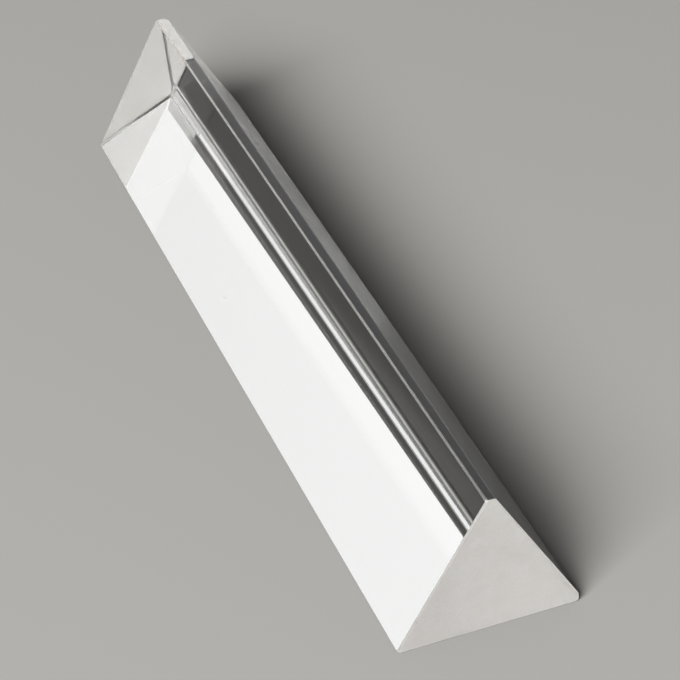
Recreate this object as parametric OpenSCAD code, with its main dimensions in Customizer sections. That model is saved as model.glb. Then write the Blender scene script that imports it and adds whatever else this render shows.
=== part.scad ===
// Equilateral dispersing prism: one solid bar of optical glass lying on a long face.
// The origin is on the resting face, half way along the bar and straight under the ridge.
// X runs along the bar, Y across it and Z points up.

/* [Glass bar] */
// Width of each long face, measured between the sharp corners of the triangle
face_width = 30; // [20:0.5:60]
// Length of the bar over its two ground ends
bar_length = 150; // [50:1:300]

/* [Eased long edges] */
// Width of the flat along the ridge
ridge_flat = 1.8; // [0.4:0.1:4]
// Width of the flat along the front edge
front_flat = 0.5; // [0.3:0.1:4]
// How far the rear flat starts up the rear face from the sharp corner
rear_cut_up_face = 2.4; // [0.4:0.05:4]
// How far the rear flat starts in along the resting face from the sharp corner
rear_cut_along_base = 1.05; // [0.4:0.05:4]

/* [Ends] */
// Arris ground along the three long sides of each end
end_arris = 0.35; // [0.1:0.05:0.8]
// How much deeper the arris is nipped where a long edge meets the end
corner_nip = 0.3; // [0.1:0.05:0.6]

/* [Hidden] */

// Distances from the centre of the triangle to its sides and to its sharp corners
side_reach = face_width * sqrt(3) / 6;
corner_reach = face_width / sqrt(3);

// Way that each long face and each symmetric edge flat looks, turned from +Y towards +Z
rear_face_turn = 30;
front_face_turn = 150;
base_turn = 270;
ridge_turn = 90;
front_edge_turn = 210;

// The rear edge is eased more on the rear face than on the base, so its flat has a turn of its own
rear_edge_turn = atan2(rear_cut_up_face / 2 - rear_cut_along_base, rear_cut_up_face * sqrt(3) / 2);
rear_edge_reach = (face_width / 2 - rear_cut_along_base) * cos(rear_edge_turn)
    - side_reach * sin(rear_edge_turn);

// Every plane that runs the length of the bar: its turn, its distance from the centre and its arris
nipped_arris = end_arris + corner_nip;
LONG_PLANES = [
    [rear_face_turn, side_reach, end_arris],
    [front_face_turn, side_reach, end_arris],
    [base_turn, side_reach, end_arris],
    [ridge_turn, flat_reach(ridge_flat), nipped_arris],
    [front_edge_turn, flat_reach(front_flat), nipped_arris],
    [rear_edge_turn, rear_edge_reach, nipped_arris],
];

// A flat of a given width across a 60 degree corner cuts off a small equilateral triangle
function flat_reach(width) = corner_reach - width * sqrt(3) / 2;

// All the room under one long plane, with both of its ends broken by the arris
module room_under(turn, reach, arris) {
    half = bar_length / 2;
    floor_depth = 2 * face_width;
    rotate([turn, 0, 0])
        linear_extrude(height = 4 * face_width, center = true)
            polygon([
                [-half, -floor_depth],
                [half, -floor_depth],
                [half, reach - arris],
                [half - arris, reach],
                [arris - half, reach],
                [-half, reach - arris],
            ]);
}

// The bar is what all the rooms share, so the arrises run into each other at every corner of the ends
module glass_prism() {
    color([0.93, 0.94, 0.93])
        translate([0, 0, side_reach])
            intersection_for(plane = LONG_PLANES)
                room_under(plane[0], plane[1], plane[2]);
}

glass_prism();
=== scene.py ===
# Glass prism: one solid bar of optical glass, long faces polished, ends ground matt
import math

import bmesh
import bpy
from mathutils import Matrix, Vector


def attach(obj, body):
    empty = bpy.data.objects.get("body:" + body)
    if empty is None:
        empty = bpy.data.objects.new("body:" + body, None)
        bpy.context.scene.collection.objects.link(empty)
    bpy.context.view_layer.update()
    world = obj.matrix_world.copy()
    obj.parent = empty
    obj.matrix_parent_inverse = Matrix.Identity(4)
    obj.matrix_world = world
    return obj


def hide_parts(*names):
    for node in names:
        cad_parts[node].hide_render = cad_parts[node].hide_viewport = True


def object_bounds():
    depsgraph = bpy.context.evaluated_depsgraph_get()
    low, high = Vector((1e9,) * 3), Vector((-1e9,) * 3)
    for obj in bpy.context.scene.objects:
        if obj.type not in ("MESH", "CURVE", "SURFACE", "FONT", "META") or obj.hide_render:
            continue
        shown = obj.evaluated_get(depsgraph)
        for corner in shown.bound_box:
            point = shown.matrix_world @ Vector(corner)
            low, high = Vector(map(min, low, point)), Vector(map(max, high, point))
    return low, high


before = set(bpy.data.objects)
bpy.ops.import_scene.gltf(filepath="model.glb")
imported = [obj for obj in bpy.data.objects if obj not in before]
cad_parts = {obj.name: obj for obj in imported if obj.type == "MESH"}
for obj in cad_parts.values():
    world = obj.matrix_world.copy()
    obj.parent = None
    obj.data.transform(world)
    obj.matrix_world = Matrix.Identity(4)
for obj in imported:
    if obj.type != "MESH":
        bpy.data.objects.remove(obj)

scene = bpy.context.scene
cadBox = [list(corner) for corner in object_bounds()]
mm = 0.001  # the frame is in metres


def linearColour(hexValue):
    # sRGB hex to the linear values that the sockets take
    parts = [int(hexValue[i:i + 2], 16) / 255 for i in (1, 3, 5)]
    return [p / 12.92 if p <= 0.04045 else ((p + 0.055) / 1.055) ** 2.4 for p in parts] + [1.0]


def addNode(tree, kind, settings=None, inputs=None):
    # one node: settings are its own properties, inputs are values or the sockets that feed it
    node = tree.nodes.new(kind)
    for name, value in (settings or {}).items():
        setattr(node, name, value)
    for name, value in (inputs or {}).items():
        if isinstance(value, bpy.types.NodeSocket):
            tree.links.new(value, node.inputs[name])
        else:
            node.inputs[name].default_value = value
    return node


def newMaterial(name):
    material = bpy.data.materials.new(name)
    material.use_nodes = True
    material.node_tree.nodes.clear()
    return material, material.node_tree


def perMetre(sizeInMm):
    return 1 / (sizeInMm * mm)  # scale of a pattern whose features are about this wide


def between(pair, share):
    return pair[0] + (pair[1] - pair[0]) * share


# The bar. Its long planes and its length are read off the frame; what the grinder's hand took off
# or left on is here. Pairs are the far end, then the near end.
prism = {
    "lean": (7.0, 5.2),  # degrees that the rear flat leans in above its polished foot
    "upperFrom": 0.58,  # share of the rear flat that stays as the frame has it
    "roundSteps": 8,
    "leastRound": 0.02,  # mm
    "roundLoss": 0.4,  # how much of an arris's inset comes off the radius of the edges there
    "arrisSoft": 0.07,  # mm, softening of the arris at both of its own edges
    "softBend": (0.35, 0.08),  # where that softening bends, as shares of it along and in
    "wearSteps": (1.3, 2.2, 3.6),  # mm from an end, over which the wear of its corners fades
    # mm in of the frame that each end was cut, at the front and rear of its foot and at the ridge
    "endCut": {"front": (0.8, 0.0), "rear": (1.3, -0.4), "ridge": (0.0, -0.5)},
    # Long sides in the order of their turn, in mm: the arris at the ends, how far out the side was
    # ground at each end, and the edge that follows it: its radius, the wear that rounds it more at
    # the ends, and how much deeper the arris goes there
    "sides": {
        "rearFoot": {"finish": "polished", "arris": (0.4, 0.15), "shift": (-0.64, 0.04),
                     "edge": "polished", "radius": 1.5, "wear": (0.0, 0.0), "nip": (0.0, 0.0)},
        "rearUpper": {"finish": "greyed", "arris": (0.4, 0.15), "shift": (-0.64, 0.04),
                      "edge": "greyed", "radius": 0.65, "wear": (0.5, 0.0), "nip": (0.1, 0.0)},
        "rearFace": {"finish": "polished", "arris": (0.45, 0.2), "shift": (-0.3, -0.2),
                     "edge": "polished", "radius": 0.4, "wear": (0.8, 0.0), "nip": (0.3, 0.0)},
        "ridgeFlat": {"finish": "polished", "arris": (0.3, 0.14), "shift": (-0.5, 0.13),
                      "edge": "stoned", "radius": 0.4, "wear": (0.1, 0.1), "nip": (0.2, 0.2)},
        "frontFace": {"finish": "polished", "arris": (0.3, 0.24), "shift": (0.0, 0.0),
                      "edge": "polished", "radius": 0.15, "wear": (0.0, 0.1), "nip": (0.15, 0.15)},
        "frontFlat": {"finish": "polished", "arris": (0.4, 0.3), "shift": (0.0, 0.0),
                      "edge": "polished", "radius": 0.15, "wear": (0.0, 0.1), "nip": (0.15, 0.15)},
        "base": {"finish": "polished", "arris": (0.4, 0.15), "shift": (0.0, 0.0),
                 "edge": "polished", "radius": 0.12, "wear": (0.1, 0.4), "nip": (0.1, 0.1)},
    },
}
# the bar's material slots, filled in this order
glassSlots = {"polished": 0, "farGround": 1, "nearGround": 2, "stoned": 3, "greyed": 4, "arris": 5}


def planeMeet(planeA, planeB, setback=0.0):
    # where two long planes meet, in the section, after both are moved in by a setback
    a, b = planeA["turn"], planeB["turn"]
    ra, rb = planeA["reach"] - setback, planeB["reach"] - setback
    det = math.sin(b - a)
    return Vector((
        (ra * math.sin(b) - rb * math.sin(a)) / det,
        (rb * math.cos(a) - ra * math.cos(b)) / det,
    ))


def readPlanes(mesh):
    # the planes that run along the bar, by their turn from +y towards +z
    found = {}
    for polygon in mesh.polygons:
        n = polygon.normal
        if abs(n.x) < 0.01:  # not an end, nor an arris
            turn = round(math.degrees(math.atan2(n.z, n.y)) % 360, 1)
            found[turn] = n.dot(mesh.vertices[polygon.vertices[0]].co)
    return [{"turn": math.radians(turn), "reach": reach} for turn, reach in sorted(found.items())]


def withLean(planes, lean):
    # the same planes with the leaning upper part of the rear flat put in
    foot, head = planeMeet(planes[-1], planes[0]), planeMeet(planes[0], planes[1])
    bend = foot.lerp(head, prism["upperFrom"])
    turn = math.radians(lean)
    upper = {"turn": turn, "reach": bend.dot(Vector((math.cos(turn), math.sin(turn))))}
    return planes[:1] + [upper] + planes[1:]


def arrisStations(arris):
    # (distance from the end, inset) in metres, from the long face round to the end face
    soft = prism["arrisSoft"] * mm
    along, inward = (soft * share for share in prism["softBend"])
    slope = soft * math.sqrt(0.5)
    return [
        (arris + soft, 0.0),
        (arris + along, inward),
        (arris - slope, slope),
        (slope, arris - slope),
        (inward, arris + along),
        (0.0, arris + soft),
    ]


def cutBack(end, y, z):
    # how far in of the frame the plane of an end lies, at a point of the section
    front, rear, ridge = (prism["endCut"][corner][end] * mm for corner in ("front", "rear", "ridge"))
    foot = between((front, rear), 0.5 + 0.5 * y / cadBox[1][1])
    level = between((front, rear), 0.5)
    return foot + (ridge - level) * z / cadBox[1][2]


def sectionLoop(bm, planes, end, station, halfLength):
    # one ring of the bar: a station of an end's arris, or past those one where its wear fades out
    rows = list(prism["sides"].values())
    onArris = len(arrisStations(mm))
    if station < onArris:
        share, fade = end, 1.0
        places = [arrisStations(row["arris"][end] * mm)[station] for row in rows]
    else:
        steps = prism["wearSteps"]
        step = steps[station - onArris]
        fade = (1 - step / steps[-1]) ** 2
        share = abs(end - step * mm / halfLength / 2)
        places = [(step * mm, 0.0)] * len(rows)
    moved = []
    for row, plane, place in zip(rows, withLean(planes, between(prism["lean"], share)), places):
        reach = plane["reach"] + between(row["shift"], share) * mm - place[1]
        moved.append({"turn": plane["turn"], "reach": reach})
    loop = []
    for i, row in enumerate(rows):
        j = (i + 1) % len(rows)
        plane, after = moved[i], moved[j]
        inset = max(places[i][1], places[j][1])
        radius = (row["radius"] + row["wear"][end] * fade) * mm - inset * prism["roundLoss"]
        radius = max(radius, prism["leastRound"] * mm)
        centre = planeMeet(plane, after, radius)
        sweep = (after["turn"] - plane["turn"]) % (2 * math.pi)
        for k in range(prism["roundSteps"] + 1):
            along = k / prism["roundSteps"]
            angle = plane["turn"] + sweep * along
            fromEnd = between((places[i][0], places[j][0]), along)
            if station < onArris / 2:  # the half of the arris on the long faces
                fromEnd += row["nip"][end] * mm * math.sin(math.pi * along)
            y, z = centre.x + radius * math.cos(angle), centre.y + radius * math.sin(angle)
            fromEnd += cutBack(end, y, z)
            loop.append(bm.verts.new(((2 * end - 1) * (halfLength - fromEnd), y, z)))
    return loop


def buildBar(mesh, planes, halfLength):
    # rings from the far end to the near one, skinned, with a face over each end
    bm = bmesh.new()
    rows = list(prism["sides"].values())
    onArris = len(arrisStations(mm))
    order = list(reversed(range(onArris))) + list(range(onArris, onArris + len(prism["wearSteps"])))
    loops = [sectionLoop(bm, planes, 0, station, halfLength) for station in order]
    loops += [sectionLoop(bm, planes, 1, station, halfLength) for station in reversed(order)]
    endRings = {0: "farGround", len(loops) - 2: "nearGround"}  # the grit takes the arris's inner edge too
    perCorner = prism["roundSteps"] + 1
    count = len(loops[0])
    for j in range(len(loops) - 1):
        alongBar = onArris - 1 <= j < len(loops) - onArris
        for p in range(count):
            q = (p + 1) % count
            face = bm.faces.new((loops[j][p], loops[j][q], loops[j + 1][q], loops[j + 1][p]))
            corner, flat = p // perCorner, p % perCorner == perCorner - 1
            face.smooth = not (alongBar and flat)
            finish = rows[(corner + 1) % len(rows)]["finish"] if flat else rows[corner]["edge"]
            if j in endRings:
                finish = endRings[j]
            elif not alongBar:
                finish = "arris"
            face.material_index = glassSlots[finish]
    for loop, finish in zip((loops[0], loops[-1]), endRings.values()):
        bm.faces.new(loop).material_index = glassSlots[finish]
    bmesh.ops.recalc_face_normals(bm, faces=bm.faces)
    bm.to_mesh(mesh)
    bm.free()


crownIndex = 1.517  # how far crown glass bends light, the same in all its finishes
noiseSpan = (0.3, 0.7)  # most values of a noise lie between these

# Crown glass polished on felt: clear right through, with mirror-bright faces and a few specks of dust
polished = {
    "colour": "#fdfefd",
    "speck": {"apart": 7.0, "core": 0.08, "radius": 0.16, "rough": 0.5},  # mm
}


def polishedCrown():
    material, tree = newMaterial("polishedCrownGlass")
    speck = polished["speck"]
    place = addNode(tree, "ShaderNodeTexCoord")
    cells = addNode(tree, "ShaderNodeTexVoronoi", None, {
        "Vector": place.outputs["Object"], "Scale": perMetre(speck["apart"])})
    dust = addNode(tree, "ShaderNodeMapRange", None, {
        "Value": cells.outputs["Distance"],
        "From Min": speck["core"] / speck["apart"], "From Max": speck["radius"] / speck["apart"],
        "To Min": speck["rough"], "To Max": 0.0})
    shader = addNode(tree, "ShaderNodeBsdfPrincipled", None, {
        "Base Color": linearColour(polished["colour"]),
        "Roughness": dust.outputs["Result"],
        "IOR": crownIndex,
        "Transmission Weight": 1.0,
    })
    addNode(tree, "ShaderNodeOutputMaterial", None, {"Surface": shader.outputs["BSDF"]})
    return material


# The same glass ground with loose grit: a grey-white matt that lets light in but shows nothing through,
# and is a little brighter where the grit was finer
ground = {
    "tones": ("#f0ece8", "#fffefc"),
    "mottleSpan": (0.75, 1.25),  # most sums of its two noises lie between these
    "gritDetail": 3.0,
    "gritRough": 0.6,
    "cloudDetail": 4.0,
    "bump": 0.3,
    "depth": 0.02,  # mm
    # in mm, with the haze from and to; real grit is near 0.03, drawn coarser to show
    "finishes": {
        "groundCrownGlass": {"grit": 0.45, "cloud": 3.0, "rough": (0.79, 0.91)},
        "fineGroundCrownGlass": {"grit": 0.35, "cloud": 3.0, "rough": (0.42, 0.54)},
    },
}


def groundCrown(name, finish):
    material, tree = newMaterial(name)
    place = addNode(tree, "ShaderNodeTexCoord")
    grit = addNode(tree, "ShaderNodeTexNoise", None, {
        "Vector": place.outputs["Object"], "Scale": perMetre(finish["grit"]),
        "Detail": ground["gritDetail"], "Roughness": ground["gritRough"]})
    cloud = addNode(tree, "ShaderNodeTexNoise", None, {
        "Vector": place.outputs["Object"], "Scale": perMetre(finish["cloud"]),
        "Detail": ground["cloudDetail"]})
    both = addNode(tree, "ShaderNodeMath", {"operation": "ADD"}, {
        0: grit.outputs["Fac"], 1: cloud.outputs["Fac"]})
    mottle = addNode(tree, "ShaderNodeMapRange", None, {
        "Value": both.outputs[0],
        "From Min": ground["mottleSpan"][0], "From Max": ground["mottleSpan"][1]})
    # a colour mix has its two colours at 6 and 7, and gives the result at 2
    tone = addNode(tree, "ShaderNodeMix", {"data_type": "RGBA"}, {
        "Factor": mottle.outputs["Result"],
        6: linearColour(ground["tones"][0]), 7: linearColour(ground["tones"][1])})
    matt = addNode(tree, "ShaderNodeMapRange", None, {
        "Value": grit.outputs["Fac"], "From Min": noiseSpan[0], "From Max": noiseSpan[1],
        "To Min": finish["rough"][0], "To Max": finish["rough"][1]})
    bump = addNode(tree, "ShaderNodeBump", None, {
        "Strength": ground["bump"], "Distance": ground["depth"] * mm, "Height": grit.outputs["Fac"]})
    shader = addNode(tree, "ShaderNodeBsdfPrincipled", None, {
        "Base Color": tone.outputs[2],
        "Roughness": matt.outputs["Result"],
        "IOR": crownIndex,
        "Transmission Weight": 1.0,
        "Normal": bump.outputs["Normal"],
    })
    addNode(tree, "ShaderNodeOutputMaterial", None, {"Surface": shader.outputs["BSDF"]})
    return material


# The same glass eased by hand on a stone, or with its polish stopped early: still clear, under a
# grey haze that is stronger the coarser the stone, with streaks along the stroke
stoned = {
    "detail": 3.0,
    "depth": 0.01,  # mm
    # width of the stone's marks in mm, how many times longer than wide they are, haze from and to
    "finishes": {
        # ridge edge off a coarse stone: a soft pale line
        "stonedCrownEdge": {
            "colour": "#fbf9f4", "width": 0.12, "streak": 4.0, "rough": (0.66, 0.72), "bump": 0.08},
        # rear flat with half a polish: mirrors what it faces, blurred
        "greyedCrownGlass": {
            "colour": "#fbf8f0", "width": 0.12, "streak": 10.0, "rough": (0.22, 0.24), "bump": 0.02},
        # arrises off a fine stone: a satin line round each end
        "stonedCrownArris": {
            "colour": "#fdfbf8", "width": 0.2, "streak": 1.0, "rough": (0.34, 0.42), "bump": 0.1},
    },
}


def stonedCrown(name, finish):
    material, tree = newMaterial(name)
    place = addNode(tree, "ShaderNodeTexCoord")
    stroke = addNode(tree, "ShaderNodeMapping", None, {
        "Vector": place.outputs["Object"], "Scale": (1 / finish["streak"], 1.0, 1.0)})
    marks = addNode(tree, "ShaderNodeTexNoise", None, {
        "Vector": stroke.outputs["Vector"], "Scale": perMetre(finish["width"]),
        "Detail": stoned["detail"]})
    haze = addNode(tree, "ShaderNodeMapRange", None, {
        "Value": marks.outputs["Fac"], "From Min": noiseSpan[0], "From Max": noiseSpan[1],
        "To Min": finish["rough"][0], "To Max": finish["rough"][1]})
    bump = addNode(tree, "ShaderNodeBump", None, {
        "Strength": finish["bump"], "Distance": stoned["depth"] * mm, "Height": marks.outputs["Fac"]})
    shader = addNode(tree, "ShaderNodeBsdfPrincipled", None, {
        "Base Color": linearColour(finish["colour"]),
        "Roughness": haze.outputs["Result"],
        "IOR": crownIndex,
        "Transmission Weight": 1.0,
        "Normal": bump.outputs["Normal"],
    })
    addNode(tree, "ShaderNodeOutputMaterial", None, {"Surface": shader.outputs["BSDF"]})
    return material


planes = readPlanes(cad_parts["glass_prism"].data)
halfLength = (cadBox[1][0] - cadBox[0][0]) / 2
print("long planes", [round(math.degrees(p["turn"]), 1) for p in planes])
barMesh = bpy.data.meshes.new("prismBar")
buildBar(barMesh, planes, halfLength)
bar = bpy.data.objects.new("prismBar", barMesh)
scene.collection.objects.link(bar)
barMesh.materials.append(polishedCrown())
for name, finish in ground["finishes"].items():
    barMesh.materials.append(groundCrown(name, finish))
for name, finish in stoned["finishes"].items():
    barMesh.materials.append(stonedCrown(name, finish))
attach(bar, "root")
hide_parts("glass_prism")
print("bar", len(barMesh.vertices), "vertices", len(barMesh.polygons), "faces")

# Floor of matt paper: an even pale grey with no shine; to the glass it shows a painted glow instead, with
# painted shade under and behind the bar
stage = {
    "radius": 3.0,  # m
    "segments": 96,
    "airFilm": 0.05,  # mm between the glass and the paper
    "paper": "#b5b3af",
    "rough": 0.9,
    # colour of the painted glow that the glass sees in place of the paper
    "throughGlass": "#fbf9f6",
    # where the painted glow gives way to painted shade under the bar, in mm out from the edges of its
    # foot; under it the paper's rendered dark shows
    "endPaintedShade": 0.45,
    "frontPaintedShade": (0.45, 0.55),
    "rearPaintedShadow": (8.0, 55.0),  # painted shadow of the bar behind it: the glow fades out there, over the paper's rendered shadow
    "paintedCreepLight": (-0.5, -0.05),  # painted light: a little of the glow reaches in under the rear edge
    "paintedCreepLevel": 0.42,
    "paintedLightPool": (110.0, 170.0),  # mm from the middle, over which the painted pool of pale glow fades out
}
floorMesh = bpy.data.meshes.new("paperFloor")
bm = bmesh.new()
bmesh.ops.create_circle(bm, cap_ends=True, segments=stage["segments"], radius=stage["radius"])
bm.to_mesh(floorMesh)
bm.free()
floor = bpy.data.objects.new("paperFloor", floorMesh)
floor.location.z = -stage["airFilm"] * mm
scene.collection.objects.link(floor)
material, tree = newMaterial("mattPaperWithPaintedGlow")
paper = addNode(tree, "ShaderNodeBsdfPrincipled", None, {
    "Base Color": linearColour(stage["paper"]), "Roughness": stage["rough"], "Specular IOR Level": 0.0})
# the glass sees a painted glow, paler than the paper, in place of the paper; it is held back under and
# behind the bar, where the paper's rendered shade shows, and camera and glossy rays see the plain paper
paintedGlow = addNode(tree, "ShaderNodeEmission", None, {"Color": linearColour(stage["throughGlass"])})
place = addNode(tree, "ShaderNodeTexCoord")
across = addNode(tree, "ShaderNodeSeparateXYZ", None, {0: place.outputs["Object"]})
beside = []
for end, past in ((0, "LESS_THAN"), (1, "GREATER_THAN")):
    outward = 2 * end - 1
    inward = [(prism["endCut"][corner][end] - stage["endPaintedShade"]) * mm for corner in ("front", "rear")]
    limit = addNode(tree, "ShaderNodeMapRange", None, {
        "Value": across.outputs[1], "From Min": cadBox[0][1], "From Max": cadBox[1][1],
        "To Min": cadBox[end][0] - outward * inward[0], "To Max": cadBox[end][0] - outward * inward[1]})
    beside.append(addNode(tree, "ShaderNodeMath", {"operation": past}, {
        0: across.outputs[0], 1: limit.outputs["Result"]}).outputs[0])
rearShift = prism["sides"]["rearFoot"]["shift"]
rearEdge = addNode(tree, "ShaderNodeMapRange", None, {
    "Value": across.outputs[0], "From Min": cadBox[0][0], "From Max": cadBox[1][0],
    "To Min": cadBox[1][1] + rearShift[0] * mm, "To Max": cadBox[1][1] + rearShift[1] * mm})
pastFront = addNode(tree, "ShaderNodeMath", {"operation": "SUBTRACT"}, {
    0: cadBox[0][1], 1: across.outputs[1]})
pastRear = addNode(tree, "ShaderNodeMath", {"operation": "SUBTRACT"}, {
    0: across.outputs[1], 1: rearEdge.outputs["Result"]})
# painted shade in front of the foot, painted shadow behind the bar, and painted light under the rear edge
for past, (start, full), level in (
        (pastFront, stage["frontPaintedShade"], 1.0), (pastRear, stage["rearPaintedShadow"], 1.0),
        (pastRear, stage["paintedCreepLight"], stage["paintedCreepLevel"])):
    beside.append(addNode(tree, "ShaderNodeMapRange", {"interpolation_type": "SMOOTHSTEP"}, {
        "Value": past.outputs[0], "From Min": start * mm, "From Max": full * mm,
        "To Min": 0.0, "To Max": level}).outputs["Result"])
clear = beside[0]
for other in beside[1:]:
    clear = addNode(tree, "ShaderNodeMath", {"operation": "MAXIMUM"}, {0: clear, 1: other}).outputs[0]
reach = addNode(tree, "ShaderNodeVectorMath", {"operation": "LENGTH"}, {0: place.outputs["Object"]})
# painted pool of light: the glow fades with distance from the bar's middle
paintedLightPool = addNode(tree, "ShaderNodeMapRange", {"interpolation_type": "SMOOTHSTEP"}, {
    "Value": reach.outputs["Value"],
    "From Min": stage["paintedLightPool"][0] * mm, "From Max": stage["paintedLightPool"][1] * mm, "To Min": 1.0, "To Max": 0.0})
path = addNode(tree, "ShaderNodeLightPath")
shown = addNode(tree, "ShaderNodeMath", {"operation": "MULTIPLY"}, {0: paintedLightPool.outputs["Result"], 1: clear})
shown = addNode(tree, "ShaderNodeMath", {"operation": "MULTIPLY"}, {
    0: path.outputs["Is Transmission Ray"], 1: shown.outputs[0]})
mix = addNode(tree, "ShaderNodeMixShader", None, {
    0: shown.outputs[0], 1: paper.outputs["BSDF"], 2: paintedGlow.outputs[0]})
addNode(tree, "ShaderNodeOutputMaterial", None, {"Surface": mix.outputs[0]})
floorMesh.materials.append(material)
print("floor", stage["paper"])

# Room: white all round as the glass sees it, but for two dark cards, one at the back left and one
# round the camera, which draw the glass's dark lines
studio = {
    "white": "#ffffff",
    "roomLevel": 1.0,
    "cards": [  # where each is, and how many degrees from its middle it is dark and ends
        {"aim": (-0.70, -0.66, 0.27), "dark": 27.0, "ends": 42.0},
        {"aim": (0.75, -0.27, 0.60), "dark": 20.0, "ends": 36.0},
    ],
    "cardShade": 0.05,
    "backdrop": "#cbc9c5",  # what the camera sees past the floor
    "ambient": 0.06,
}
world = bpy.data.worlds.new("studioRoom")
scene.world = world
world.use_nodes = True
tree = world.node_tree
tree.nodes.clear()
place = addNode(tree, "ShaderNodeTexCoord")
level = studio["roomLevel"]
for card in studio["cards"]:
    aim = addNode(tree, "ShaderNodeVectorMath", {"operation": "DOT_PRODUCT"}, {
        0: place.outputs["Generated"], 1: Vector(card["aim"]).normalized()})
    dark, ends = (math.cos(math.radians(card[limit])) for limit in ("dark", "ends"))
    shade = addNode(tree, "ShaderNodeMapRange", {"interpolation_type": "SMOOTHSTEP"}, {
        "Value": aim.outputs["Value"], "From Min": ends, "From Max": dark,
        "To Min": 1.0, "To Max": studio["cardShade"]})
    level = addNode(tree, "ShaderNodeMath", {"operation": "MULTIPLY"}, {
        0: level, 1: shade.outputs["Result"]}).outputs[0]
white = linearColour(studio["white"])
room = addNode(tree, "ShaderNodeBackground", None, {"Color": white, "Strength": level})
backdrop = addNode(tree, "ShaderNodeBackground", None, {"Color": linearColour(studio["backdrop"])})
fill = addNode(tree, "ShaderNodeBackground", None, {"Color": white, "Strength": studio["ambient"]})
path = addNode(tree, "ShaderNodeLightPath")
throughGlass = addNode(tree, "ShaderNodeMath", {"operation": "MAXIMUM"}, {
    0: path.outputs["Is Glossy Ray"], 1: path.outputs["Is Transmission Ray"]})
mix = addNode(tree, "ShaderNodeMixShader", None, {
    0: throughGlass.outputs[0], 1: fill.outputs[0], 2: room.outputs[0]})
mix = addNode(tree, "ShaderNodeMixShader", None, {
    0: path.outputs["Is Camera Ray"], 1: mix.outputs[0], 2: backdrop.outputs[0]})
addNode(tree, "ShaderNodeOutputWorld", None, {"Surface": mix.outputs[0]})
print("room", len(studio["cards"]), "cards")

# Key light: a large soft box over the near left of the bar
key = {"place": (1.3, -1.6, 1.6), "size": (1.6, 1.1), "power": 102.0}  # m, W
light = bpy.data.lights.new("keyBox", "AREA")
light.shape = "RECTANGLE"
light.size, light.size_y = key["size"]
light.energy = key["power"]
lamp = bpy.data.objects.new("keyBox", light)
scene.collection.objects.link(lamp)
lamp.visible_transmission = False  # inside the glass only the room shows
lamp.location = Vector(key["place"])
lamp.rotation_euler = (-lamp.location).to_track_quat("-Z", "Y").to_euler()
print("light", key["power"], "W")

# Camera: place and turn solved from the photograph's straight edges
view = {
    "place": (307.3, -102.8, 244.7),  # mm
    "azimuth": 70.60,
    "elevation": 37.06,
    "roll": 2.99,
    "focal": 2403.5,  # pixels of the 680 wide frame
    "frame": 680,
    "sensor": 36.0,  # mm
    "nearest": 10.0,  # mm
}
camera = bpy.data.cameras.new("camera")
camera.sensor_width = view["sensor"]
camera.lens = view["focal"] / view["frame"] * view["sensor"]
camera.clip_start = view["nearest"] * mm
cameraObject = bpy.data.objects.new("camera", camera)
scene.collection.objects.link(cameraObject)
az, el, roll = (math.radians(view[k]) for k in ("azimuth", "elevation", "roll"))
back = Vector((math.sin(az) * math.cos(el), -math.cos(az) * math.cos(el), math.sin(el)))
right = Vector((math.cos(az), math.sin(az), 0))
up = back.cross(right)
rightRolled = right * math.cos(roll) - up * math.sin(roll)
upRolled = back.cross(rightRolled)
turn = Matrix((rightRolled, upRolled, back)).transposed().to_4x4()
cameraObject.matrix_world = Matrix.Translation(Vector(view["place"]) * mm) @ turn
scene.camera = cameraObject
print("camera", round(camera.lens, 1), "mm lens")

# Light turns many times inside the bar; what the bar would focus on the paper is left out, as it is grainy
scene.view_settings.view_transform = "Standard"
cycles = scene.cycles
cycles.max_bounces = 32
cycles.transmission_bounces = 32
cycles.glossy_bounces = 24
cycles.caustics_refractive = False
cycles.caustics_reflective = False
cycles.use_adaptive_sampling = False
cycles.use_denoising = True
